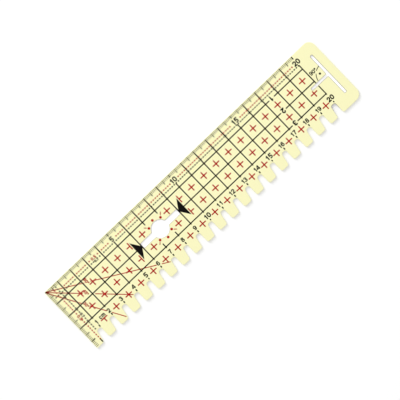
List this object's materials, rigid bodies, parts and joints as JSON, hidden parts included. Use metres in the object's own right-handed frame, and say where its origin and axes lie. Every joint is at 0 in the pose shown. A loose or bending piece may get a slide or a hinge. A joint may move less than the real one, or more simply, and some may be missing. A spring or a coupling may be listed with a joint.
{
  "type": "ironing hem gauge",
  "caption": "Flat heat-resistant gauge sheet for pressing hems, with a centimetre scale, a comb of marking notches, a compass window and a T-shaped slot.",
  "frame": {"origin": "middle of the sheet's 215 by 45 mm outline, on the surface that it lies on", "axes": "+X along the scale from its zero end to its far end, +Y from the comb to the scale edge, +Z out of the printed face"},
  "size_m": [0.215, 0.045, 0.001],
  "materials": {
    "pale_yellow_plastic": "satin pale yellow heat-resistant sheet with thin black and red printed lines on its top face",
    "black_ink": "thin black printed lines, figures and dots, with a dull surface",
    "red_ink": "thin red printed lines, crosses and dots, with a dull surface"
  },
  "bodies": {
    "root": {"gauge_blade": "pale_yellow_plastic"}
  },
  "joints": []
}
